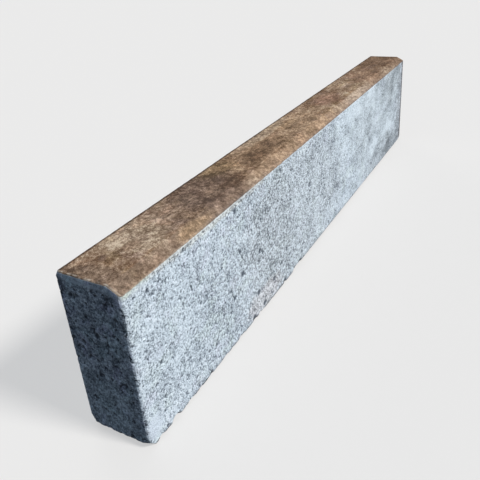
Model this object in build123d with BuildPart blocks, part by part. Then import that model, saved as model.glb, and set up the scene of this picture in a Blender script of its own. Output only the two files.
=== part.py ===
from build123d import *
import os

os.makedirs("parts", exist_ok=True)

# Overall size of the pressed concrete stone, standing on its base with its length along X
length = 1000
width = 80
height = 200

# Chamfer along the front of the top, wider across the top than it is deep
chamfer_across = 15
chamfer_drop = 8

# Radii of the moulded arrises that run the length of the stone
back_arris_radius = 4
chamfer_arris_radius = 3
base_arris_radius = 2

# Radius of the arrises round both ends
end_arris_radius = 1.5

# Stretch of the lower front arris that is rubbed rounder, from a step to the far end
worn_arris_radius = 7
worn_start_share = 0.365

# Broken corners: how far each break runs along the length, across and up
front_foot_break = (10, 25, 10.5)
back_foot_break = (8, 8, 19)
back_crown_break = (6, 5, 6)
far_foot_break = (18, 10, 12)

# Slant rubbed along the foot of the near end: how far it runs along the length, and up at its front and back
near_foot_along = 4
near_foot_front_up = 6.5
near_foot_back_up = 4.5

# Spalls bitten out of the lower front arris: length along the arris and depth from its sharp line
deep_spall_chord = 18
deep_spall_depth = 5.5
step_spall_chord = 34
step_spall_depth = 5
small_spall_chord = 12
small_spall_depth = 3.4

# Places of the spalls along the length, counted from the near end
deep_spall_share = 0.046
step_spall_share = 0.371
small_spall_shares = (0.019, 0.192, 0.248, 0.408)

# How far a cut runs past the faces that it opens
overrun = 20

# Lines that the section and the cuts share
near_end = -length / 2
far_end = length / 2
front_face = -width / 2
back_face = width / 2
chamfer_top = front_face + chamfer_across
chamfer_foot = height - chamfer_drop


def place_along(share):
    """Place along X at a share of the length from the near end."""
    return near_end + share * length


def break_plane(corner, reach):
    """Plane of a corner break, through one point on each of the three arrises that meet there.

    Its normal points out of the stone, towards the lost corner.
    """
    along, across, up = reach
    inward = [-1 if value > 0 else 1 for value in (corner.X, corner.Y, corner.Z - height / 2)]
    on_length = corner + Vector(inward[0] * along, 0, 0)
    on_width = corner + Vector(0, inward[1] * across, 0)
    on_height = corner + Vector(0, 0, inward[2] * up)
    outward = (on_width - on_length).cross(on_height - on_length).normalized()
    if outward.dot(corner - on_length) < 0:
        outward = -outward
    return Plane(origin=on_length, x_dir=on_width - on_length, z_dir=outward)


def spall_radius(chord, depth):
    """Radius of the ball whose bite in a straight arris has this chord and depth."""
    return (chord**2 / 4 + depth**2) / (2 * depth)


def spall_centre(share, chord, depth):
    """Centre of a spall's ball, outside the lower front arris on the line that halves its angle."""
    reach = (spall_radius(chord, depth) - depth) / 2**0.5
    return (place_along(share), front_face - reach, -reach)


with BuildPart() as kerb_stone:
    # Section with its chamfer and rounded arrises, drawn out to the full length
    with BuildSketch(Plane.YZ) as section:
        with BuildLine():
            Polyline(
                (front_face, 0),
                (back_face, 0),
                (back_face, height),
                (chamfer_top, height),
                (front_face, chamfer_foot),
                close=True,
            )
        make_face()
        # A fillet makes new corners, so each one is picked just before it is rounded
        fillet(section.vertices().group_by(Axis.Y)[0], radius=base_arris_radius)
        fillet(section.vertices().group_by(Axis.X)[-1].sort_by(Axis.Y)[-1], radius=back_arris_radius)
        fillet(section.vertices().group_by(Axis.X)[0].sort_by(Axis.Y)[-1], radius=chamfer_arris_radius)
        fillet(section.vertices().group_by(Axis.Y)[-1].sort_by(Axis.X)[0], radius=chamfer_arris_radius)
    extrude(amount=length / 2, both=True)

    # Arrises round the two ends
    end_faces = kerb_stone.faces().sort_by(Axis.X)
    fillet(end_faces[0].edges() + end_faces[-1].edges(), radius=end_arris_radius)

    # Rubbed stretch of the lower front arris
    with BuildSketch(Plane.YZ.offset(place_along(worn_start_share))):
        with Locations((front_face, 0)):
            Rectangle(2 * worn_arris_radius, 2 * worn_arris_radius)
        with Locations((front_face + worn_arris_radius, worn_arris_radius)):
            Circle(worn_arris_radius, mode=Mode.SUBTRACT)
    extrude(amount=length * (1 - worn_start_share) + overrun, mode=Mode.SUBTRACT)

    # Spalls along the lower front arris
    spalls = [
        (deep_spall_share, deep_spall_chord, deep_spall_depth),
        (step_spall_share, step_spall_chord, step_spall_depth),
        *((share, small_spall_chord, small_spall_depth) for share in small_spall_shares),
    ]
    for share, chord, depth in spalls:
        with Locations(spall_centre(share, chord, depth)):
            Sphere(spall_radius(chord, depth), mode=Mode.SUBTRACT)

    # Corners broken off the two ends
    breaks = [
        (Vector(near_end, front_face, 0), front_foot_break),
        (Vector(near_end, back_face, 0), back_foot_break),
        (Vector(near_end, back_face, height), back_crown_break),
        (Vector(far_end, front_face, 0), far_foot_break),
    ]
    for corner, reach in breaks:
        split(bisect_by=break_plane(corner, reach), keep=Keep.BOTTOM)

    # Slant along the foot of the near end
    slant_base = Vector(near_end + near_foot_along, 0, 0)
    slant_front = Vector(near_end, front_face, near_foot_front_up)
    slant_line = Vector(near_end, back_face, near_foot_back_up) - slant_front
    foot_slant = Plane(slant_base, x_dir=slant_line, z_dir=(slant_front - slant_base).cross(slant_line))
    split(bisect_by=foot_slant, keep=Keep.BOTTOM)

kerb_stone.part.label = "kerb_stone"
export_step(kerb_stone.part, "parts/kerb_stone.step")
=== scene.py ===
import logging
import math
from dataclasses import dataclass
from enum import Enum
from functools import reduce
from typing import Any

import bpy
import numpy as np
from mathutils import Matrix, Vector


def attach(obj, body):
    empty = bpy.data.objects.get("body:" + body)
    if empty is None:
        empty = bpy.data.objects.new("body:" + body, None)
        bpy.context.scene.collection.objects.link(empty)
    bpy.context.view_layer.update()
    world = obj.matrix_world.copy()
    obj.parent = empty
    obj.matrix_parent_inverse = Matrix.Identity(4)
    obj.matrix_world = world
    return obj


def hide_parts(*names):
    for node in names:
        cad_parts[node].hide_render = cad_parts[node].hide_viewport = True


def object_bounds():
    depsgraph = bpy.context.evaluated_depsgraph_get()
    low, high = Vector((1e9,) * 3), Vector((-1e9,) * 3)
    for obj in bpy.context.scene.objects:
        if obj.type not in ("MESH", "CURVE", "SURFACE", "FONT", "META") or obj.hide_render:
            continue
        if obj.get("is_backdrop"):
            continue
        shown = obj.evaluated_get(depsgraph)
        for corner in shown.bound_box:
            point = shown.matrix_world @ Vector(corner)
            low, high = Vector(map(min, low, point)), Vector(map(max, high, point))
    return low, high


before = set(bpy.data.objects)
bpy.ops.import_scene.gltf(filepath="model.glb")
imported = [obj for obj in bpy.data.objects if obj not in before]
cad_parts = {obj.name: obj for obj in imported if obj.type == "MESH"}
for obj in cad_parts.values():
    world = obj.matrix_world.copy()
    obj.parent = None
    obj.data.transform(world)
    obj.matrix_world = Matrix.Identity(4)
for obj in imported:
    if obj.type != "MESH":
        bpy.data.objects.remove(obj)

log = logging.getLogger("kerb_stone")

MM = 0.001

# The axes of the frame, and the middle of a noise or a tone
ALONG, ACROSS, UP = range(3)
MIDDLE = 0.5

# The curve from a screen's value to light: a straight foot, and a power above it
BRIGHTEST = 255
FOOT_END = 0.04045
FOOT_SLOPE = 12.92
CURVE_SHIFT = 0.055
CURVE_POWER = 2.4

# How far apart the layers of one mottle are read, in metres
LAYER_STEP = (0.37, 0.19, 0.53)

# Finer layers on a noise whose rim has to be crisp
FINE_DETAIL = 2.0

# Numbers of the mix node's sockets for colours
MIX_FIRST, MIX_SECOND, MIX_RESULT = 6, 7, 2

Socket = bpy.types.NodeSocket
Feed = Socket | float | tuple[float, ...]
Place = tuple[float, float, float]
Span = tuple[float, float]


class Side(Enum):
    """The six sides of the stone: the axis that each one faces along, and which way."""

    NEAR = (ALONG, -1)
    FAR = (ALONG, 1)
    FRONT = (ACROSS, -1)
    BACK = (ACROSS, 1)
    BASE = (UP, -1)
    TOP = (UP, 1)


class Beam(Enum):
    """The two lamps of the studio."""

    KEY = "key_lamp"
    FILL = "fill_lamp"


@dataclass(frozen=True)
class Tint:
    """A colour as it shows on a screen, from 0 to 255 in each channel."""

    red: float
    green: float
    blue: float

    def linear(self) -> tuple[float, ...]:
        """Turns the colour into light.

        Returns:
            The three channels and an opaque fourth, for a shader's socket.
        """
        light = []
        for value in (self.red, self.green, self.blue):
            share = value / BRIGHTEST
            curved = ((share + CURVE_SHIFT) / (1 + CURVE_SHIFT)) ** CURVE_POWER
            light.append(share / FOOT_SLOPE if share <= FOOT_END else curved)
        return (*light, 1.0)


@dataclass(frozen=True)
class Stop:
    """One colour of a gradient and where it stands, from 0 to 1."""

    at: float
    tint: Tint


@dataclass(frozen=True)
class Layer:
    """Noise of one size: blotches in millimetres, their strength, and how many finer layers lie on them."""

    blotch: float
    gain: float
    detail: float = 0.0


@dataclass(frozen=True)
class Hue:
    """A hue that comes and goes in blotches: its tint, and how far aside its noise is read."""

    tint: Tint
    aside: Place


class Bench:
    """Lays nodes in one node tree and joins their sockets."""

    def __init__(self, tree: bpy.types.NodeTree) -> None:
        """Empties the tree that the nodes go into."""
        self.tree = tree
        tree.nodes.clear()

    def node(self, kind: str, *values: Feed, **settings: Any) -> bpy.types.Node:
        """Adds one node.

        Args:
            kind: Blender's name of the node's type.
            values: What its first inputs are fed, in order.
            settings: Properties of the node to set.

        Returns:
            The new node.
        """
        made = self.tree.nodes.new(kind)
        for name, value in settings.items():
            setattr(made, name, value)
        return self.wire(made, dict(enumerate(values)))

    def wire(self, made: bpy.types.Node, values: dict[Any, Feed]) -> bpy.types.Node:
        """Joins a node's inputs to other sockets, or sets their values.

        Args:
            made: The node.
            values: What each input is fed, by its name or number.

        Returns:
            The same node.
        """
        for key, value in values.items():
            if isinstance(value, bpy.types.NodeSocket):
                self.tree.links.new(value, made.inputs[key])
            else:
                made.inputs[key].default_value = value
        return made

    def math(self, operation: str, *values: Feed) -> Socket:
        """The result of one sum, such as ADD, on the values in order."""
        return self.node("ShaderNodeMath", *values, operation=operation).outputs[0]

    def vector(self, operation: str, *values: Feed) -> Socket:
        """The result of one sum on vectors, such as ADD, on the values in order."""
        return self.node("ShaderNodeVectorMath", *values, operation=operation).outputs["Vector"]

    def most(self, first: Feed, *others: Feed) -> Feed:
        """The largest of the values."""
        return reduce(lambda one, other: self.math("MAXIMUM", other, one), others, first)

    def split(self, vector: Feed) -> list[Socket]:
        """The three parts of a vector."""
        return list(self.node("ShaderNodeSeparateXYZ", vector).outputs)

    def join(self, *parts: Feed) -> Socket:
        """A vector from its three parts."""
        return self.node("ShaderNodeCombineXYZ", *parts).outputs[0]

    def between(self, share: Feed, start: float, end: float) -> Socket:
        """The value that lies a share of the way from start to end."""
        return self.math("MULTIPLY_ADD", share, end - start, start)

    def ramp(self, value: Feed, low: Feed, high: Feed, start: Feed = 0.0, end: Feed = 1.0) -> Socket:
        """Eases from one value to another while a third one rises.

        Args:
            value: What rises.
            low: Where the easing starts, below high.
            high: Where it ends.
            start: The result up to low.
            end: The result from high on.

        Returns:
            The eased value's socket.
        """
        made = self.node("ShaderNodeMapRange", value, low, high, start, end, interpolation_type="SMOOTHSTEP")
        return made.outputs[0]

    def noise(self, place: Feed, blotch: float, detail: float = 1.0, roughness: float = 0.5) -> Socket:
        """Soft noise from 0 to 1.

        Args:
            place: Where it is read.
            blotch: The size of one blotch in metres.
            detail: How many finer layers lie on it.
            roughness: How strong the finer layers are.

        Returns:
            The noise's socket.
        """
        made = self.node("ShaderNodeTexNoise", place, noise_dimensions="3D")
        return self.wire(made, {"Scale": 1 / blotch, "Detail": detail, "Roughness": roughness}).outputs[0]

    def gradient(self, value: Feed, stops: tuple[Stop, ...]) -> Socket:
        """Colours a value by a row of stops.

        Args:
            value: What is coloured, from 0 to 1.
            stops: The colours and where they stand, the lowest first.

        Returns:
            The colour's socket.
        """
        made = self.node("ShaderNodeValToRGB", value)
        row = made.color_ramp.elements
        while len(row) < len(stops):
            row.new(1.0)
        for element, stop in zip(row, stops):
            element.position = stop.at
            element.color = stop.tint.linear()
        return made.outputs[0]

    def mottle(self, place: Feed, layers: tuple[Layer, ...]) -> Socket:
        """Adds noise of several sizes up to one tone.

        Args:
            place: Where it is read.
            layers: The sizes and their strengths.

        Returns:
            The tone's socket, whose middle is that of one noise.
        """
        tone: Feed = MIDDLE - MIDDLE * sum(layer.gain for layer in layers)
        for number, layer in enumerate(layers):
            apart = tuple(step * number for step in LAYER_STEP)
            spread = self.noise(self.vector("ADD", place, apart), layer.blotch * MM, layer.detail)
            tone = self.math("MULTIPLY_ADD", spread, layer.gain, tone)
        return tone

    def blend(self, share: Feed, first: Feed, second: Feed, how: str = "MIX") -> Socket:
        """Mixes two colours.

        Args:
            share: How much of the second one.
            first: The colour at share 0.
            second: The colour at share 1.
            how: The way of mixing, such as MIX or COLOR.

        Returns:
            The mixed colour's socket.
        """
        made = self.node("ShaderNodeMix", share, data_type="RGBA", blend_type=how)
        return self.wire(made, {MIX_FIRST: first, MIX_SECOND: second}).outputs[MIX_RESULT]


@dataclass
class Form:
    """The stone's main sizes in metres, how softly its masks end, and how far its grain is drawn out."""

    low: Vector
    high: Vector
    chamfer_across: float = 15 * MM
    chamfer_drop: float = 8 * MM
    chamfer_fade: Span = (0.3 * MM, 1.0 * MM)
    end_fade: float = 0.4 * MM
    stretch: float = 0.9

    def chamfer_plane(self) -> tuple[float, float, float]:
        """Works out where the chamfer's plane lies.

        Returns:
            Its outward normal along Y and Z, and its distance from the origin along that.
        """
        slope = math.hypot(self.chamfer_across, self.chamfer_drop)
        lean = (-self.chamfer_drop / slope, self.chamfer_across / slope)
        return (*lean, lean[0] * self.low.y + lean[1] * (self.high.z - self.chamfer_drop))


class StoneBench(Bench):
    """A bench with the point of the stone at hand, and what is measured there.

    The point is whole in place, and in parts in along, across and up.
    In drawn_out its length is squeezed more and more towards the far end, where the grain is drawn out.
    Its depths lie behind the nearer face along each axis, and inwards is the sign of the way in.
    Its crown_depth lies under the top or the chamfer's plane, whichever is nearer.
    On the two ends on_end is 1, and on the chamfer slanted is 1 while it is 0 on the top.
    """

    def __init__(self, tree: bpy.types.NodeTree, reader: str, output: str, form: Form) -> None:
        """Reads the point in the tree and measures it.

        Args:
            tree: A shader or geometry node tree.
            reader: Blender's name of the type of node that reads the point.
            output: The name of that node's output.
            form: The stone's main sizes.
        """
        super().__init__(tree)
        self.place = self.node(reader).outputs[output]
        self.along, self.across, self.up = self.split(self.place)
        grown = self.math("MULTIPLY_ADD", self.along, form.stretch, 1.0 - form.stretch * form.low.x)
        bent = self.math("LOGARITHM", grown, math.e)
        squeezed = self.math("MULTIPLY_ADD", bent, 1 / form.stretch, form.low.x)
        self.drawn_out = self.join(squeezed, self.across, self.up)
        middle = (form.low + form.high) / 2
        half = (form.high - form.low) / 2
        self.depths, self.inwards = [], []
        for axis, part in enumerate((self.along, self.across, self.up)):
            offset = self.math("SUBTRACT", part, middle[axis])
            self.depths.append(self.math("SUBTRACT", half[axis], self.math("ABSOLUTE", offset)))
            self.inwards.append(self.math("MULTIPLY", self.math("SIGN", offset), -1.0))
        lean_across, lean_up, reach = form.chamfer_plane()
        outward = self.math("MULTIPLY", self.up, lean_up)
        outward = self.math("MULTIPLY_ADD", self.across, lean_across, outward)
        under_top = self.math("SUBTRACT", form.high.z, self.up)
        self.crown_depth = self.math("MINIMUM", under_top, self.math("SUBTRACT", reach, outward))
        beside = self.math("MINIMUM", self.depths[ACROSS], self.depths[UP])
        beside = self.math("SUBTRACT", beside, self.depths[ALONG])
        self.on_end = self.ramp(beside, -form.end_fade, form.end_fade)
        chamfer_top = form.low.y + form.chamfer_across
        front = self.ramp(self.across, chamfer_top, chamfer_top + form.chamfer_fade[1], 1.0, 0.0)
        self.slanted = self.math("MULTIPLY", front, self.ramp(under_top, *form.chamfer_fade))


@dataclass(frozen=True)
class Edging:
    """A line along an edge: its width, its strength, and the share of its width that is at full strength."""

    width: float
    strength: float
    core: float = 0.5

    def field(self, bench: Bench, depth: Socket) -> Socket:
        """A socket that is the strength at the edge and 0 from the width on, by the depth behind the edge."""
        return bench.ramp(depth, self.core * self.width, self.width, self.strength, 0.0)


@dataclass(frozen=True)
class Patch:
    """A stretch of the surface that differs, in millimetres.

    It has a centre, a reach along each axis and a strength. Its rim is made ragged by blotches.
    It is at full strength up to the core, a share of its reach, and fades from there.
    """

    centre: Place
    reach: Place
    strength: float = 1.0
    ragged: float = 0.6
    blotch: float = 12.0
    core: float = 0.55
    fade: float = 0.6

    @classmethod
    def hole(cls, *centre: float, wide: float) -> "Patch":
        """A small hollow with a ragged rim, from its centre and how far it reaches."""
        return cls(centre, (wide, wide, wide), ragged=0.4, blotch=3.0)

    def field(self, bench: StoneBench) -> Socket:
        """Lays the patch out in space, with a ragged rim.

        Args:
            bench: Where the nodes go.

        Returns:
            A socket that is the strength inside the patch and 0 outside.
        """
        centre, reach = (tuple(part * MM for part in row) for row in (self.centre, self.reach))
        offset = bench.vector("DIVIDE", bench.vector("SUBTRACT", bench.place, centre), reach)
        far = bench.node("ShaderNodeVectorMath", offset, operation="LENGTH").outputs["Value"]
        rim = bench.math("MULTIPLY_ADD", bench.noise(bench.place, self.blotch * MM), self.ragged, far)
        inner = self.core + MIDDLE * self.ragged
        return bench.ramp(rim, inner, inner + self.fade, self.strength, 0.0)


@dataclass(frozen=True)
class Stain:
    """A patch with a hue of its own: where it is, how far it lifts the tone, its tint and how much of it."""

    centre: Place
    reach: Place
    lift: float
    tint: Tint
    share: float


class Stains:
    """The stains of one surface, laid out once for both its tone and its hue."""

    def __init__(self, bench: StoneBench, stains: tuple[Stain, ...]) -> None:
        """Lays the stains out in space."""
        self.bench = bench
        self.laid = [(stain, Patch(stain.centre, stain.reach).field(bench)) for stain in stains]

    def lift(self, tone: Socket) -> Socket:
        """Makes the stained places lighter or darker.

        Args:
            tone: How light the surface is without them.

        Returns:
            The tone with every stain's lift added.
        """
        for stain, field in self.laid:
            tone = self.bench.math("MULTIPLY_ADD", field, stain.lift, tone)
        return tone

    def tint(self, colour: Socket) -> Socket:
        """Gives the stained places their hues, and leaves light and dark as they are.

        Args:
            colour: The surface's colour without them.

        Returns:
            The colour with every stain's hue laid over it.
        """
        for stain, field in self.laid:
            share = self.bench.math("MULTIPLY", field, stain.share)
            colour = self.bench.blend(share, colour, stain.tint.linear(), "COLOR")
        return colour


@dataclass
class CastConcrete:
    """What the concrete's relief and its colour have in common: where it is open-pored and where smooth."""

    form: Form
    pit_blotch: float = 7 * MM
    pit_roughness: float = 0.6
    pit_span: Span = (0.61, 0.72)
    pit_crowd: float = 50 * MM
    crowd_aside: Place = (0.7, 0.3, 0.1)
    crowding: float = 0.15
    end_crowding: float = 0.12
    end_opening: float = 0.07
    sealed: tuple[Patch, ...] = (
        Patch((-500, 5, 42), (20, 42, 42), 0.05),
        Patch((-500, 30, 78), (20, 11, 22), 0.08),
        Patch((-456, -40, 15), (9, 12, 9), 0.12),
    )
    side_band: float = 3 * MM
    end_band: float = 9 * MM
    band_span: Span = (0.8, 1.3)
    smears: tuple[Patch, ...] = (
        Patch((-488, -40, 22), (13, 25, 17)),
        Patch((-465, -40, 99), (10, 20, 6), 0.7),
        Patch((-478, -40, 186), (16, 20, 5), 0.7),
    )
    holes: tuple[Patch, ...] = tuple(
        Patch.hole(*centre, wide=wide)
        for *centre, wide in (
            (-296, -40, 179, 4), (-403, -40, 186, 3), (-465, -40, 176, 3), (-290, -40, 88, 5),
            (-292, -40, 121, 3.4), (-242, -40, 95, 4.6), (-252, -40, 35, 5), (-314, -40, 66, 3.6),
            (-462, -40, 87, 3.2), (-475, -40, 67, 2.6), (-465, -40, 43, 2.8), (-205, -40, 28, 4.6),
            (-70, -40, 118, 5), (-268, -40, 3, 6.5), (-237, -40, 8, 5), (-171, -39, 4, 5.5),
            (-115, -38, 4, 7), (-380, -40, 3, 4), (-500, 26, 176, 3.6), (-500, -21, 184, 2.8),
            (-500, -27, 162, 3.2), (-500, 2, 135, 4), (-500, 23, 121, 3.4),
        )
    )

    def smear(self, bench: StoneBench) -> Feed:
        """A socket that is 1 where smooth cement is smeared over the front."""
        return bench.most(0.0, *(smear.field(bench) for smear in self.smears))

    def band(self, bench: StoneBench) -> Socket:
        """A socket that is 1 on the crown and in the smooth band under it, which is wider on the ends."""
        wide = bench.between(bench.on_end, self.side_band, self.end_band)
        return bench.ramp(bench.math("DIVIDE", bench.crown_depth, wide), *self.band_span, 1.0, 0.0)

    def pits(self, bench: StoneBench) -> Feed:
        """The hollows that grains and air have left, more open on the ends.

        Args:
            bench: Where the nodes go.

        Returns:
            A socket that is 1 at a hollow's bottom and 0 on the skin.
        """
        raw = bench.noise(bench.place, self.pit_blotch, FINE_DETAIL, self.pit_roughness)
        crowd = bench.noise(bench.vector("ADD", bench.place, self.crowd_aside), self.pit_crowd)
        spread = bench.between(bench.on_end, self.crowding, self.end_crowding)
        crowded = bench.math("MULTIPLY_ADD", bench.math("SUBTRACT", crowd, MIDDLE), spread, raw)
        opened = bench.math("MULTIPLY_ADD", bench.on_end, self.end_opening, crowded)
        for patch in self.sealed:
            opened = bench.math("SUBTRACT", opened, patch.field(bench))
        below = bench.math("SUBTRACT", 1.0, self.band(bench))
        bare = bench.math("SUBTRACT", 1.0, self.smear(bench))
        plain = bench.math("MULTIPLY", below, bare)
        pores = bench.math("MULTIPLY", plain, bench.ramp(opened, *self.pit_span))
        return bench.most(pores, *(hole.field(bench) for hole in self.holes))


@dataclass(frozen=True)
class ConcreteFinish:
    """Grey pressed concrete with a brown-toned crown, matt all over."""

    concrete: CastConcrete
    name: str = "pressed_concrete"
    paste: tuple[Stop, ...] = (
        Stop(0.05, Tint(82, 90, 99)),
        Stop(0.28, Tint(136, 145, 155)),
        Stop(0.46, Tint(184, 195, 204)),
        Stop(0.60, Tint(204, 216, 225)),
        Stop(0.85, Tint(229, 238, 245)),
    )
    # The ends' gradient is darker than the body's: partly painted shade, as on an end turned away from the
    # key lamp, and partly a rougher, dirtier cut face
    end_paste_with_painted_shade: tuple[Stop, ...] = (
        Stop(0.05, Tint(88, 97, 108)),
        Stop(0.30, Tint(122, 132, 143)),
        Stop(0.50, Tint(151, 162, 174)),
        Stop(0.70, Tint(178, 190, 202)),
        Stop(0.95, Tint(212, 224, 235)),
    )
    grain_layers: tuple[Layer, ...] = (Layer(1.7, 1.47, 1.0), Layer(3.6, 0.48), Layer(8, 0.18))
    cloud_layers: tuple[Layer, ...] = (Layer(15, 0.14), Layer(34, 0.18), Layer(110, 0.1))
    far_layers: tuple[Layer, ...] = (Layer(15, 0.26), Layer(36, 0.3))
    far_from: float = -350 * MM
    far_to: float = 250 * MM
    end_layers: tuple[Layer, ...] = (Layer(2.6, 0.55), Layer(5, 0.7), Layer(12, 0.58))
    calm_from: float = -200 * MM
    calm_to: float = 350 * MM
    calm_share: float = 0.45
    band_calm: float = 0.55
    band_lift: float = 0.06
    end_band_lift: float = 0.22
    body_stains: tuple[Stain, ...] = (
        Stain((-430, -40, 110), (80, 40, 80), 0.03, Tint(190, 203, 212), 0.2),
        Stain((-110, -40, 95), (220, 60, 130), -0.05, Tint(184, 191, 196), 0.55),
        Stain((-205, -40, 95), (70, 60, 110), -0.05, Tint(180, 187, 192), 0.3),
        Stain((155, -40, 150), (150, 40, 65), 0.045, Tint(192, 203, 210), 0.5),
        Stain((415, -40, 165), (75, 40, 55), -0.12, Tint(178, 186, 191), 0.6),
        Stain((330, -40, 100), (230, 60, 160), -0.03, Tint(185, 194, 199), 0.5),
        Stain((395, -40, 0), (180, 40, 62), -0.15, Tint(174, 182, 188), 0.6),
        Stain((500, -40, 90), (50, 60, 150), -0.1, Tint(172, 177, 183), 0.6),
        Stain((-500, 5, 42), (20, 40, 45), 0.03, Tint(140, 155, 163), 0.4),
        Stain((-235, -40, 18), (60, 40, 22), 0.0, Tint(190, 186, 187), 0.5),
        Stain((-350, -40, 192), (170, 12, 10), -0.08, Tint(188, 190, 186), 0.7),
        Stain((-482, -40, 190), (24, 12, 8), -0.08, Tint(178, 186, 170), 0.6),
        # This stain is painted shade at the near end's back top corner, under the crown's lip
        Stain((-500, 37, 189), (10, 6, 7), -0.35, Tint(130, 141, 154), 0.2),
    )
    body_hues: tuple[Hue, ...] = (
        Hue(Tint(196, 196, 213), (0.4, 0.9, 0.2)),
        Hue(Tint(190, 204, 198), (0.6, 0.1, 0.8)),
    )
    body_hue_share: float = 0.25
    end_hues: tuple[Hue, ...] = (
        Hue(Tint(144, 145, 171), (0.2, 0.5, 0.7)),
        Hue(Tint(141, 160, 169), (0.8, 0.4, 0.1)),
    )
    end_hue_share: float = 0.5
    # Pits are darkened with painted shade in the hollows, with some dirt, darker still on the ends and less
    # towards the far end
    pit_shade_share: float = 0.9
    far_pit_shade_share: float = 0.38
    pit_shade_and_dirt: Tint = Tint(70, 78, 88)
    end_pit_shade_and_dirt: Tint = Tint(46, 52, 61)
    smear: Tint = Tint(211, 221, 232)
    smear_share: float = 0.75
    # The colour of a thin, patchy darker line along the foot, and of dirt down the far end's arris
    dirt: Tint = Tint(92, 91, 94)
    foot_line_blotch: float = 9 * MM
    foot_line_span: Span = (0.35, 0.65)
    foot_line_least: float = 0.4
    foot_dark_line: Edging = Edging(4.5 * MM, 0.85)
    far_dirt: Edging = Edging(15 * MM, 0.92, 0.4)
    crown: tuple[Stop, ...] = (
        Stop(0.10, Tint(74, 52, 37)),
        Stop(0.34, Tint(104, 80, 60)),
        Stop(0.52, Tint(128, 104, 83)),
        Stop(0.70, Tint(152, 130, 107)),
        Stop(0.92, Tint(194, 177, 154)),
    )
    crown_layers: tuple[Layer, ...] = (
        Layer(2.3, 0.52), Layer(4.6, 0.66), Layer(11, 0.47),
        Layer(28, 0.45), Layer(80, 0.15), Layer(1.1, 0.62),
    )
    crown_stains: tuple[Stain, ...] = (
        Stain((-494, -8, 200), (22, 60, 30), -0.1, Tint(120, 102, 87), 0.5),
        Stain((-414, 14, 200), (47, 46, 30), 0.23, Tint(160, 142, 121), 0.4),
        Stain((-350, 0, 200), (42, 60, 30), -0.08, Tint(118, 100, 86), 0.4),
        Stain((-290, 0, 200), (58, 52, 30), -0.21, Tint(108, 90, 79), 0.6),
        Stain((-372, -35, 197), (34, 11, 12), 0.12, Tint(172, 142, 108), 0.6),
        Stain((-230, 22, 200), (38, 20, 30), -0.12, Tint(128, 106, 74), 0.6),
        Stain((-256, -17, 200), (34, 12, 30), -0.14, Tint(94, 72, 56), 0.5),
        Stain((-150, -4, 200), (66, 22, 30), -0.12, Tint(114, 90, 69), 0.5),
        Stain((-171, -7, 200), (24, 11, 30), -0.13, Tint(106, 78, 58), 0.6),
        Stain((-118, 6, 200), (20, 11, 30), -0.1, Tint(110, 86, 68), 0.5),
        Stain((-90, 0, 200), (190, 90, 30), 0.05, Tint(142, 115, 88), 0.5),
        Stain((-80, 30, 200), (95, 15, 30), 0.17, Tint(158, 142, 122), 0.4),
        Stain((-20, -10, 200), (60, 24, 30), -0.06, Tint(146, 122, 98), 0.3),
        Stain((120, 5, 200), (42, 24, 30), -0.05, Tint(126, 95, 78), 0.6),
        Stain((175, -34, 196), (85, 11, 12), 0.1, Tint(182, 162, 144), 0.5),
        Stain((225, 5, 200), (40, 40, 30), 0.08, Tint(150, 129, 106), 0.3),
        Stain((312, -10, 200), (62, 34, 30), 0.0, Tint(142, 112, 90), 0.6),
        Stain((475, 5, 200), (95, 70, 30), -0.15, Tint(112, 88, 68), 0.4),
    )
    crown_hues: tuple[Hue, ...] = (
        Hue(Tint(114, 94, 84), (0.9, 0.2, 0.4)),
        Hue(Tint(138, 113, 80), (0.1, 0.8, 0.6)),
        Hue(Tint(136, 102, 78), (0.5, 0.5, 0.3)),
    )
    crown_hue_share: float = 0.48
    hue_blotch: float = 24 * MM
    hue_roughness: float = 0.6
    hue_span: Span = (0.5, 0.68)
    crown_skin: float = 1.2 * MM
    crown_lean: float = 0.35
    crown_ragged: float = 1.2 * MM
    crown_blotch: float = 4 * MM
    crown_fade: Span = (0.2 * MM, 0.8 * MM)
    crown_calm: float = 0.85
    # The chamfer is made lighter than the top: painted light, as on a face turned more towards the key lamp
    chamfer_painted_light: float = 0.058
    chamfer_far_painted_light: float = 0.11
    chamfer_painted_light_from: float = -300 * MM
    chamfer_tint: Tint = Tint(162, 142, 124)
    chamfer_share: float = 0.5
    chamfer_calm: float = 0.8
    # The rim's colours: a pale painted highlight, partly wear, along the crown's arrises near the near end,
    # and a dull line of painted shade and dirt along them further on
    rim: Tint = Tint(206, 198, 184)
    rim_width: float = 2.2 * MM
    rim_share: float = 0.28
    far_rim_shade_and_dirt: Tint = Tint(104, 98, 98)
    far_rim_width: float = 3.4 * MM
    far_rim_share: float = 0.4
    rim_from: float = -450 * MM
    rim_to: float = -330 * MM
    rim_start: float = 0.6 * MM
    rim_back: float = -7.5 * MM
    end_line: Edging = Edging(3.4 * MM, 0.5)
    dash_blotch: float = 7 * MM
    dash_span: Span = (0.45, 0.6)
    chamfer_dashes: float = 0.4
    # A dark line of painted shade along the crown's back arris
    back_arris_painted_shade: Edging = Edging(7 * MM, -0.6, 0.4)
    gloss_span: Span = (0.2, 0.9)
    roughest: float = 0.96
    smoothest: float = 0.8
    shine: float = 0.12
    bump_depth: float = 0.8 * MM
    bump_strength: float = 0.6

    def build(self) -> bpy.types.Material:
        """Makes the material.

        Returns:
            The finished material.
        """
        material = bpy.data.materials.new(self.name)
        material.use_nodes = True
        bench = StoneBench(material.node_tree, "ShaderNodeTexCoord", "Object", self.concrete.form)
        body_stains = Stains(bench, self.body_stains)
        crown_stains = Stains(bench, self.crown_stains)
        paste_tone = body_stains.lift(self.paste_tone(bench))
        crown_tone = crown_stains.lift(self.crown_tone(bench))
        grey = self.grey(bench, paste_tone, body_stains)
        brown = crown_stains.tint(self.brown(bench, crown_tone))
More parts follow.
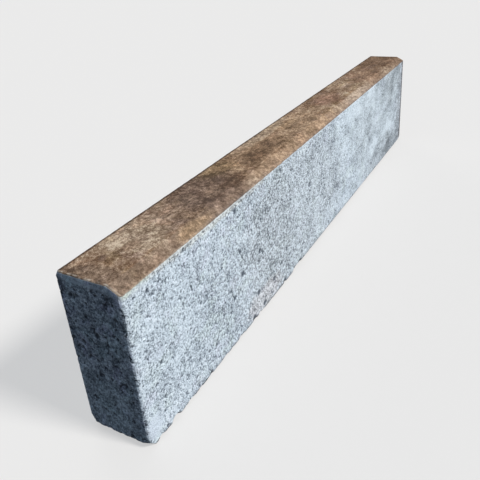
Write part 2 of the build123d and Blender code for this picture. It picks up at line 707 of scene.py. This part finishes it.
        # The crown's rim is a pale painted highlight, partly wear, at the near end, and a dull line of
        # painted shade and dirt further on
        beyond = bench.ramp(bench.along, self.rim_from, self.rim_to)
        rim = bench.blend(beyond, self.rim.linear(), self.far_rim_shade_and_dirt.linear())
        spare = self.crown_spare(bench)
        arris_rim_line = self.arris_rim_line(bench, spare, beyond)
        capped = bench.ramp(spare, *self.crown_fade)
        raised = bench.math("SUBTRACT", crown_tone, paste_tone)
        height = bench.math("MULTIPLY_ADD", capped, raised, paste_tone)
        shader = bench.wire(bench.node("ShaderNodeBsdfPrincipled"), {
            "Base Color": bench.blend(capped, grey, bench.blend(arris_rim_line, brown, rim)),
            "Roughness": bench.ramp(height, *self.gloss_span, self.roughest, self.smoothest),
            "Specular IOR Level": self.shine,
            "Normal": self.relief(bench, height),
        })
        bench.node("ShaderNodeOutputMaterial", shader.outputs[0])
        return material

    def crown_spare(self, bench: StoneBench) -> Socket:
        """How far inside the brown crown the point lies, which ends at its arrises.

        Args:
            bench: Where the nodes go.

        Returns:
            A socket that is over 0 on the crown and under 0 on the body, in metres.
        """
        from_side = bench.math("MINIMUM", bench.depths[ALONG], bench.depths[ACROSS])
        allowed = bench.math("MULTIPLY_ADD", from_side, self.crown_lean, self.crown_skin)
        spread = bench.noise(bench.place, self.crown_blotch, FINE_DETAIL)
        ragged = bench.math("MULTIPLY_ADD", spread, self.crown_ragged, allowed)
        return bench.math("SUBTRACT", ragged, bench.crown_depth)

    def arris_rim_line(self, bench: StoneBench, spare: Socket, beyond: Socket) -> Socket:
        """How much of the rim's colour the crown's arrises take, in short dashes along the ends and weaker on
        the chamfer: a pale painted highlight, partly wear, near the near end, and painted shade with dirt
        further on.

        Args:
            bench: Where the nodes go.
            spare: How far inside the crown the point lies.
            beyond: Where the near end's pale rim gives way to the dull one.

        Returns:
            The share of the rim's colour, from 0 to 1.
        """
        dashes = bench.ramp(bench.noise(bench.place, self.dash_blotch), *self.dash_span)
        dashes = bench.math("MULTIPLY", dashes, bench.between(bench.slanted, 1.0, self.chamfer_dashes))
        at_end = self.end_line.field(bench, bench.depths[ALONG])
        share = bench.between(beyond, self.rim_share, self.far_rim_share)
        wide = bench.between(beyond, self.rim_width, self.far_rim_width)
        front = bench.ramp(bench.across, self.rim_back, 0.0, share, 0.0)
        at_foot = bench.ramp(spare, self.rim_start, wide, front, 0.0)
        return bench.most(bench.math("MULTIPLY", at_end, dashes), at_foot)

    def paste_tone(self, bench: StoneBench) -> Socket:
        """How light the body is from point to point, before its pits, blotchier on the ends.

        Args:
            bench: Where the nodes go.

        Returns:
            The tone's socket, about 0.5 in the middle.
        """
        grain = bench.math("SUBTRACT", bench.mottle(bench.drawn_out, self.grain_layers), MIDDLE)
        blotchy = bench.math("SUBTRACT", bench.mottle(bench.place, self.end_layers), MIDDLE)
        grain = bench.math("MULTIPLY_ADD", blotchy, bench.on_end, grain)
        calm = bench.ramp(bench.along, self.calm_from, self.calm_to, 1.0, self.calm_share)
        band = self.concrete.band(bench)
        calm = bench.math("MULTIPLY", calm, bench.between(band, 1.0, self.band_calm))
        cloudy = bench.math("SUBTRACT", bench.mottle(bench.drawn_out, self.far_layers), MIDDLE)
        far = bench.ramp(bench.along, self.far_from, self.far_to)
        cloud = bench.math("MULTIPLY_ADD", cloudy, far, bench.mottle(bench.place, self.cloud_layers))
        tone = bench.math("MULTIPLY_ADD", grain, calm, cloud)
        lift = bench.between(bench.on_end, self.band_lift, self.end_band_lift)
        return bench.math("MULTIPLY_ADD", band, lift, tone)

    def grey(self, bench: StoneBench, tone: Socket, stains: Stains) -> Socket:
        """The body's colour: pale cement paste, grey sand, pits darkened with painted shade and some dirt,
        darker lines along two arrises, and ends darkened partly with painted shade.

        Args:
            bench: Where the nodes go.
            tone: How light the paste is.
            stains: The stains on the body.

        Returns:
            The colour's socket.
        """
        on_end = bench.on_end
        # On the ends the darker gradient paints in shade as well as a rougher face
        colour = bench.blend(on_end, bench.gradient(tone, self.paste), bench.gradient(tone, self.end_paste_with_painted_shade))
        beside = bench.between(on_end, self.body_hue_share, 0.0)
        colour = self.hued(bench, bench.place, colour, self.body_hues, beside)
        at_end = bench.math("MULTIPLY", on_end, self.end_hue_share)
        colour = self.hued(bench, bench.place, colour, self.end_hues, at_end)
        smear = bench.math("MULTIPLY", self.concrete.smear(bench), self.smear_share)
        colour = bench.blend(smear, stains.tint(colour), self.smear.linear())
        # The pits' dark colour is painted shade in the hollows, with some dirt
        dark = bench.blend(on_end, self.pit_shade_and_dirt.linear(), self.end_pit_shade_and_dirt.linear())
        depth = bench.ramp(bench.along, self.calm_from, self.calm_to, self.pit_shade_share, self.far_pit_shade_share)
        pit_shade_amount = bench.math("MULTIPLY", self.concrete.pits(bench), depth)
        return bench.blend(self.darkened_arrises(bench), bench.blend(pit_shade_amount, colour, dark), self.dirt.linear())

    def darkened_arrises(self, bench: StoneBench) -> Socket:
        """How dark the body is made along two arrises: a thin, patchy darker line along the foot, and dirt
        down the far end's arris.

        Args:
            bench: Where the nodes go.

        Returns:
            The darker colour's share, from 0 to 1.
        """
        form = self.concrete.form
        spread = bench.noise(bench.place, self.foot_line_blotch, FINE_DETAIL)
        patchy = bench.ramp(spread, *self.foot_line_span, self.foot_line_least, 1.0)
        foot = self.foot_dark_line.field(bench, bench.math("SUBTRACT", bench.up, form.low.z))
        far = self.far_dirt.field(bench, bench.math("SUBTRACT", form.high.x, bench.along))
        return bench.most(bench.math("MULTIPLY", foot, patchy), far)

    def crown_tone(self, bench: StoneBench) -> Socket:
        """How light the crown is from point to point, with painted light on the chamfer and painted shade
        along the back's arris.

        Args:
            bench: Where the nodes go.

        Returns:
            The tone's socket, about 0.5 in the middle.
        """
        calm = bench.ramp(bench.along, self.calm_from, self.calm_to, 1.0, self.crown_calm)
        calm = bench.math("MULTIPLY", calm, bench.between(bench.slanted, 1.0, self.chamfer_calm))
        grain = bench.math("SUBTRACT", bench.mottle(bench.drawn_out, self.crown_layers), MIDDLE)
        # Painted light on the chamfer, stronger towards the far end
        lift = bench.ramp(bench.along, self.chamfer_painted_light_from, 0.0, self.chamfer_painted_light, self.chamfer_far_painted_light)
        tone = bench.math("MULTIPLY_ADD", grain, calm, MIDDLE)
        tone = bench.math("MULTIPLY_ADD", bench.slanted, lift, tone)
        # Painted shade along the back's arris
        behind = bench.math("SUBTRACT", self.concrete.form.high.y, bench.across)
        return bench.math("ADD", tone, self.back_arris_painted_shade.field(bench, behind))

    def brown(self, bench: StoneBench, tone: Socket) -> Socket:
        """The crown's colour: blotches of brown with sand grains, paler on the chamfer.

        Args:
            bench: Where the nodes go.
            tone: How light the crown is.

        Returns:
            The colour's socket.
        """
        colour = bench.gradient(tone, self.crown)
        colour = self.hued(bench, bench.drawn_out, colour, self.crown_hues, self.crown_hue_share)
        pale = bench.math("MULTIPLY", bench.slanted, self.chamfer_share)
        return bench.blend(pale, colour, self.chamfer_tint.linear(), "COLOR")

    def hued(self, bench: Bench, place: Socket, colour: Socket, hues: tuple[Hue, ...], most: Feed) -> Socket:
        """Lays hues over a colour in blotches, and leaves light and dark as they are.

        Args:
            bench: Where the nodes go.
            place: Where the blotches are read.
            colour: The colour without them.
            hues: What is laid over it.
            most: The share of a hue in the middle of its blotches.

        Returns:
            The colour's socket.
        """
        for hue in hues:
            aside = bench.vector("ADD", place, hue.aside)
            spread = bench.noise(aside, self.hue_blotch, FINE_DETAIL, self.hue_roughness)
            share = bench.ramp(spread, *self.hue_span, 0.0, most)
            colour = bench.blend(share, colour, hue.tint.linear(), "COLOR")
        return colour

    def relief(self, bench: Bench, height: Socket) -> Socket:
        """The normal bent by the fine relief that the mesh is too coarse for, whose dark grains lie lower."""
        values = {"Height": height, "Distance": self.bump_depth, "Strength": self.bump_strength}
        return bench.wire(bench.node("ShaderNodeBump"), values).outputs[0]


@dataclass(frozen=True)
class Panel:
    """One side's place on the texture sheet: the axes along its edges, its corner in metres and its turn."""

    side: Side
    across: int
    up: int
    corner: Span
    turned: bool


@dataclass
class TextureSheet:
    """The six sides laid out flat on one sheet, so that a baked texture has no scattered scraps."""

    form: Form
    name: str = "OFBake"
    gap: float = 6 * MM

    def panels(self) -> tuple[list[Panel], Span]:
        """Stacks the four long sides, with the two ends next to each other above them.

        Returns:
            The panels, and the sheet's width and height in metres.
        """
        size = self.form.high - self.form.low
        made: list[Panel] = []
        top = self.gap
        for side, up in ((Side.FRONT, UP), (Side.BACK, UP), (Side.TOP, ACROSS), (Side.BASE, ACROSS)):
            made.append(Panel(side, ALONG, up, (self.gap, top), side in (Side.BACK, Side.BASE)))
            top += size[up] + self.gap
        made.append(Panel(Side.NEAR, UP, ACROSS, (self.gap, top), False))
        made.append(Panel(Side.FAR, UP, ACROSS, (size.z + 2 * self.gap, top), True))
        return made, (size.x + 2 * self.gap, top + size.y + self.gap)

    def nearest(self, points: np.ndarray) -> np.ndarray:
        """Finds the side that each point lies nearest to.

        Args:
            points: One row of X, Y and Z for each point.

        Returns:
            The number of each point's side.
        """
        depths = []
        for side in Side:
            axis, way = side.value
            face = self.form.high[axis] if way > 0 else self.form.low[axis]
            depths.append(way * (face - points[:, axis]))
        lean_across, lean_up, reach = self.form.chamfer_plane()
        top = list(Side).index(Side.TOP)
        under_chamfer = reach - lean_across * points[:, ACROSS] - lean_up * points[:, UP]
        depths[top] = np.minimum(depths[top], under_chamfer)
        return np.argmin(depths, axis=0)

    def lay(self, piece: bpy.types.Object) -> None:
        """Writes the layout into the piece's mesh.

        Args:
            piece: The finished mesh.
        """
        mesh = piece.data
        points = np.empty((len(mesh.vertices), 3), np.float32)
        mesh.vertices.foreach_get("co", points.ravel())
        centres = np.empty((len(mesh.polygons), 3), np.float32)
        mesh.polygons.foreach_get("center", centres.ravel())
        counts = np.empty(len(mesh.polygons), np.int32)
        mesh.polygons.foreach_get("loop_total", counts)
        corners = np.empty(len(mesh.loops), np.int32)
        mesh.loops.foreach_get("vertex_index", corners)
        sides = np.repeat(self.nearest(centres), counts)
        spots = np.empty((len(corners), 2), np.float32)
        panels, sheet = self.panels()
        for panel in panels:
            mine = sides == list(Side).index(panel.side)
            seen = points[corners[mine]]
            along = seen[:, panel.across] - self.form.low[panel.across]
            if panel.turned:
                along = self.form.high[panel.across] - seen[:, panel.across]
            spots[mine, 0] = (panel.corner[0] + along) / sheet[0]
            spots[mine, 1] = (panel.corner[1] + seen[:, panel.up] - self.form.low[panel.up]) / sheet[1]
        mesh.uv_layers.new(name=self.name).data.foreach_set("uv", spots.ravel())
        log.info("%s: sheet of %d panels", piece.name, len(panels))


@dataclass
class KerbStone:
    """The stone as it is seen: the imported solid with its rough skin, pores and chipped arrises."""

    concrete: CastConcrete
    finish: ConcreteFinish
    node: str = "kerb_stone"
    name: str = "weathered_kerb_stone"
    body: str = "root"
    slot: str = "concrete"
    weld: float = 0.01 * MM
    voxel: float = 1.2 * MM
    most_triangles: int = 195_000
    rub: float = 0.5 * MM
    nibble_length: float = 11 * MM
    nibble_depth: float = 2.2 * MM
    nibble_span: Span = (0.45, 0.75)
    bite_length: float = 34 * MM
    bite_depth: float = 3 * MM
    bite_span: Span = (0.62, 0.78)
    bite_aside: Place = (0.3, 0.6, 0.9)
    low_share: float = 0.3
    high_share: float = 0.7
    upright_share: float = 0.25
    upright_rub: float = 2.6 * MM
    foot_loss: float = 5 * MM
    foot_reach: float = 40 * MM
    crown_share: float = 0.25
    wave_blotch: float = 70 * MM
    wave_height: float = 0.5 * MM
    grain_blotch: float = 5 * MM
    grain_height: float = 0.45 * MM
    highest: float = 0.3
    pit_depth: float = 1.1 * MM
    skin_gap: float = 0.1 * MM
    smooth_angle: float = math.radians(60)

    def build(self) -> bpy.types.Object:
        """Models the stone and dresses it.

        Returns:
            The finished piece.
        """
        piece = self.rough_out()
        self.weather(piece)
        self.thin(piece)
        TextureSheet(self.concrete.form).lay(piece)
        self.dress(piece)
        return piece

    def rough_out(self) -> bpy.types.Object:
        """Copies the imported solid, welds it and gives it an even, fine mesh.

        Returns:
            The piece.
        """
        bpy.ops.object.select_all(action="DESELECT")
        piece = bpy.data.objects.new(self.name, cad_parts[self.node].data.copy())
        bpy.context.scene.collection.objects.link(piece)
        piece.select_set(True)
        bpy.context.view_layer.objects.active = piece
        bpy.ops.object.mode_set(mode="EDIT")
        bpy.ops.mesh.select_all(action="SELECT")
        bpy.ops.mesh.remove_doubles(threshold=self.weld)
        bpy.ops.object.mode_set(mode="OBJECT")
        piece.data.materials.clear()
        piece.data.remesh_voxel_size = self.voxel
        bpy.ops.object.voxel_remesh()
        log.info("%s: even mesh of %d faces", self.name, len(piece.data.polygons))
        return piece

    def weather(self, piece: bpy.types.Object) -> None:
        """Chips the arrises and roughens the faces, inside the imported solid's box.

        Args:
            piece: The even mesh.
        """
        tree = bpy.data.node_groups.new("weathering", "GeometryNodeTree")
        for way in ("INPUT", "OUTPUT"):
            tree.interface.new_socket("Geometry", in_out=way, socket_type="NodeSocketGeometry")
        bench = StoneBench(tree, "GeometryNodeInputPosition", "Position", self.concrete.form)
        shape = bench.node("NodeGroupInput").outputs[0]
        for how, value in (("Offset", self.chips), ("Offset", self.skin), ("Position", self.held)):
            moved = bench.wire(bench.node("GeometryNodeSetPosition"), {"Geometry": shape, how: value(bench)})
            shape = moved.outputs[0]
        bench.node("NodeGroupOutput", shape)
        modifier = piece.modifiers.new("weathering", "NODES")
        modifier.node_group = tree
        bpy.ops.object.modifier_apply(modifier=modifier.name)

    def chips(self, bench: StoneBench) -> Socket:
        """Breaks the sharp lines of the arrises, most of all round the base.

        Args:
            bench: Where the nodes go.

        Returns:
            How far the point is moved.
        """
        form = self.concrete.form
        fine = bench.noise(bench.place, self.nibble_length, FINE_DETAIL)
        nibble = bench.ramp(fine, *self.nibble_span, 0.0, self.nibble_depth)
        nibbled = bench.math("ADD", nibble, self.rub)
        coarse = bench.noise(bench.vector("ADD", bench.place, self.bite_aside), self.bite_length)
        bite = bench.ramp(coarse, *self.bite_span, 0.0, self.bite_depth)
        top = form.high.z
        low_down = bench.ramp(bench.up, self.low_share * top, self.high_share * top, 1.0, 0.0)
        upper = bench.math("MULTIPLY", nibbled, self.crown_share)
        lower = bench.math("ADD", nibbled, bite)
        by_height = bench.math("MULTIPLY_ADD", bench.math("SUBTRACT", lower, upper), low_down, upper)
        in_front = bench.ramp(bench.across, form.low.y, 0.0, self.upright_rub, 0.0)
        upright = bench.math("MULTIPLY_ADD", nibbled, self.upright_share, in_front)
        at_end = bench.ramp(bench.along, form.low.x, form.low.x + self.foot_reach, self.foot_loss, 0.0)
        foot = bench.math("MULTIPLY_ADD", at_end, low_down, by_height)
        moves: list[Feed] = [0.0, 0.0, 0.0]
        for first, second, gone in ((ALONG, ACROSS, upright), (ACROSS, UP, by_height), (ALONG, UP, foot)):
            depth = bench.math("ADD", bench.depths[first], bench.depths[second])
            left = bench.math("SUBTRACT", gone, depth)
            half = bench.math("MULTIPLY", bench.math("MAXIMUM", left, 0.0), 0.5)
            for axis in (first, second):
                moves[axis] = bench.math("MULTIPLY_ADD", half, bench.inwards[axis], moves[axis])
        return bench.join(*moves)

    def skin(self, bench: StoneBench) -> Socket:
        """Gives the faces their waves, grain and hollows.

        Args:
            bench: Where the nodes go.

        Returns:
            How far the point is moved.
        """
        pits = self.concrete.pits(bench)
        wave = bench.math("SUBTRACT", self.highest, bench.noise(bench.place, self.wave_blotch))
        grain = bench.math("SUBTRACT", self.highest, bench.noise(bench.place, self.grain_blotch))
        height = bench.math("MULTIPLY", grain, self.grain_height)
        height = bench.math("MULTIPLY_ADD", wave, self.wave_height, height)
        height = bench.math("MULTIPLY_ADD", pits, -self.pit_depth, height)
        normal = bench.node("GeometryNodeInputNormal").outputs[0]
        return bench.vector("MULTIPLY", normal, height)

    def held(self, bench: StoneBench) -> Socket:
        """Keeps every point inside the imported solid's box.

        Args:
            bench: Where the nodes go.

        Returns:
            Where the point ends up.
        """
        low = tuple(face + self.skin_gap for face in self.concrete.form.low)
        high = tuple(face - self.skin_gap for face in self.concrete.form.high)
        return bench.vector("MINIMUM", bench.vector("MAXIMUM", bench.place, low), high)

    def thin(self, piece: bpy.types.Object) -> None:
        """Brings the mesh down to its budget of triangles.

        Args:
            piece: The weathered mesh.
        """
        modifier = piece.modifiers.new("thinning", "DECIMATE")
        triangles = sum(len(p.vertices) - 2 for p in piece.data.polygons)
        modifier.ratio = min(1.0, self.most_triangles / triangles)
        modifier.use_collapse_triangulate = True
        bpy.ops.object.modifier_apply(modifier=modifier.name)
        bpy.ops.object.mode_set(mode="EDIT")
        bpy.ops.mesh.select_all(action="SELECT")
        bpy.ops.mesh.dissolve_degenerate(threshold=self.weld)
        bpy.ops.object.mode_set(mode="OBJECT")
        bpy.ops.object.shade_smooth_by_angle(angle=self.smooth_angle)
        log.info("%s: %d triangles from %d", self.name, len(piece.data.polygons), triangles)

    def dress(self, piece: bpy.types.Object) -> None:
        """Gives the piece its finish and its place in the frame.

        Args:
            piece: The finished mesh.
        """
        piece.data.materials.append(self.finish.build())
        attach(piece, self.body)
        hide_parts(self.node)


@dataclass
class Studio:
    """A pale floor, a soft key lamp from the front, a weaker fill from behind, and the camera."""

    ground: Tint = Tint(232, 232, 232)
    floor_grey: Tint = Tint(229, 225, 220)
    glow: float = 0.65
    floor_span: float = 60.0
    floor_drop: float = 0.2 * MM
    bounce: float = 0.06
    key_from: Place = (0.08, -0.72, 0.69)
    key_strength: float = 3.9
    key_spread: float = math.radians(12)
    fill_from: Place = (0.62, 0.76, 0.18)
    fill_strength: float = 1.5
    fill_spread: float = math.radians(40)
    air: tuple[float, float, float] = (0.151, 0.191, 0.246)
    eye: Place = (-0.7824, -0.3407, 0.4653)
    heading: float = math.radians(31.02)
    pitch: float = math.radians(-25.03)
    roll: float = math.radians(-4.73)
    lens: float = 40.556
    frame_shift: float = -0.0908
    seen_from: float = 10 * MM

    def build(self) -> None:
        """Sets up everything round the stone."""
        bpy.context.scene.view_settings.view_transform = "Standard"
        self.lay_floor()
        self.hang_lamp(Beam.KEY, self.key_from, self.key_strength, self.key_spread)
        self.hang_lamp(Beam.FILL, self.fill_from, self.fill_strength, self.fill_spread)
        self.fill_air()
        self.set_camera()

    def seen(self, bench: Bench) -> Socket:
        """A socket that is 1 for what the camera, a mirror or glass shows, and 0 for spread light."""
        path = bench.node("ShaderNodeLightPath").outputs
        return bench.most(path["Is Camera Ray"], path["Is Glossy Ray"], path["Is Transmission Ray"])

    def lay_floor(self) -> None:
        """Makes the pale floor, which throws little light back at the stone."""
        bpy.ops.object.select_all(action="DESELECT")
        bpy.ops.mesh.primitive_plane_add(size=self.floor_span, location=(0, 0, -self.floor_drop))
        floor = bpy.context.active_object
        floor.name = "floor"
        material = bpy.data.materials.new("pale_floor")
        material.use_nodes = True
        bench = Bench(material.node_tree)
        seen = self.seen(bench)
        dull = (self.bounce, self.bounce, self.bounce, 1.0)
        matt = bench.node("ShaderNodeBsdfDiffuse", bench.blend(seen, dull, self.floor_grey.linear()))
        lit = bench.node("ShaderNodeEmission", self.ground.linear())
        glow = bench.math("MULTIPLY", seen, self.glow)
        mixed = bench.node("ShaderNodeMixShader", glow, matt.outputs[0], lit.outputs[0])
        bench.node("ShaderNodeOutputMaterial", mixed.outputs[0])
        floor.data.materials.append(material)
        floor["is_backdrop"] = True

    def hang_lamp(self, beam: Beam, source: Place, strength: float, spread: float) -> None:
        """Hangs one lamp far off.

        Args:
            beam: Which lamp it is.
            source: The way towards it.
            strength: Its light on a face square to it.
            spread: How wide it looks from the stone.
        """
        bpy.ops.object.light_add(type="SUN")
        lamp = bpy.context.active_object
        lamp.name = beam.value
        lamp.data.energy = strength
        lamp.data.angle = spread
        lamp.rotation_mode = "QUATERNION"
        lamp.rotation_quaternion = Vector(source).to_track_quat("Z", "Y")

    def fill_air(self) -> None:
        """Gives the air its dim light, and a pale look behind the floor."""
        world = bpy.data.worlds.new("studio_air")
        bpy.context.scene.world = world
        world.use_nodes = True
        bench = Bench(world.node_tree)
        colour = bench.blend(self.seen(bench), (*self.air, 1.0), self.ground.linear())
        back = bench.node("ShaderNodeBackground", colour)
        bench.node("ShaderNodeOutputWorld", back.outputs[0])

    def set_camera(self) -> None:
        """Puts the camera where the stone is seen from."""
        bpy.ops.object.camera_add()
        camera = bpy.context.active_object
        camera.data.lens = self.lens
        camera.data.shift_y = self.frame_shift
        flat = math.cos(self.pitch)
        ahead = Vector((flat * math.cos(self.heading), flat * math.sin(self.heading), math.sin(self.pitch)))
        turn = ahead.to_track_quat("-Z", "Y").to_matrix() @ Matrix.Rotation(self.roll, 3, "Z")
        camera.matrix_world = Matrix.Translation(self.eye) @ turn.to_4x4()
        camera.data.clip_start = self.seen_from
        bpy.context.scene.camera = camera


def main() -> None:
    """Builds the stone and its studio, and logs which body the stone rides on."""
    logging.basicConfig(level=logging.INFO, format="%(name)s: %(message)s")
    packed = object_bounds()
    concrete = CastConcrete(Form(*packed))
    stone = KerbStone(concrete, ConcreteFinish(concrete))
    piece = stone.build()
    log.info("%s rides on %s", piece.name, stone.body)
    Studio().build()


if __name__ == "__main__":
    main()
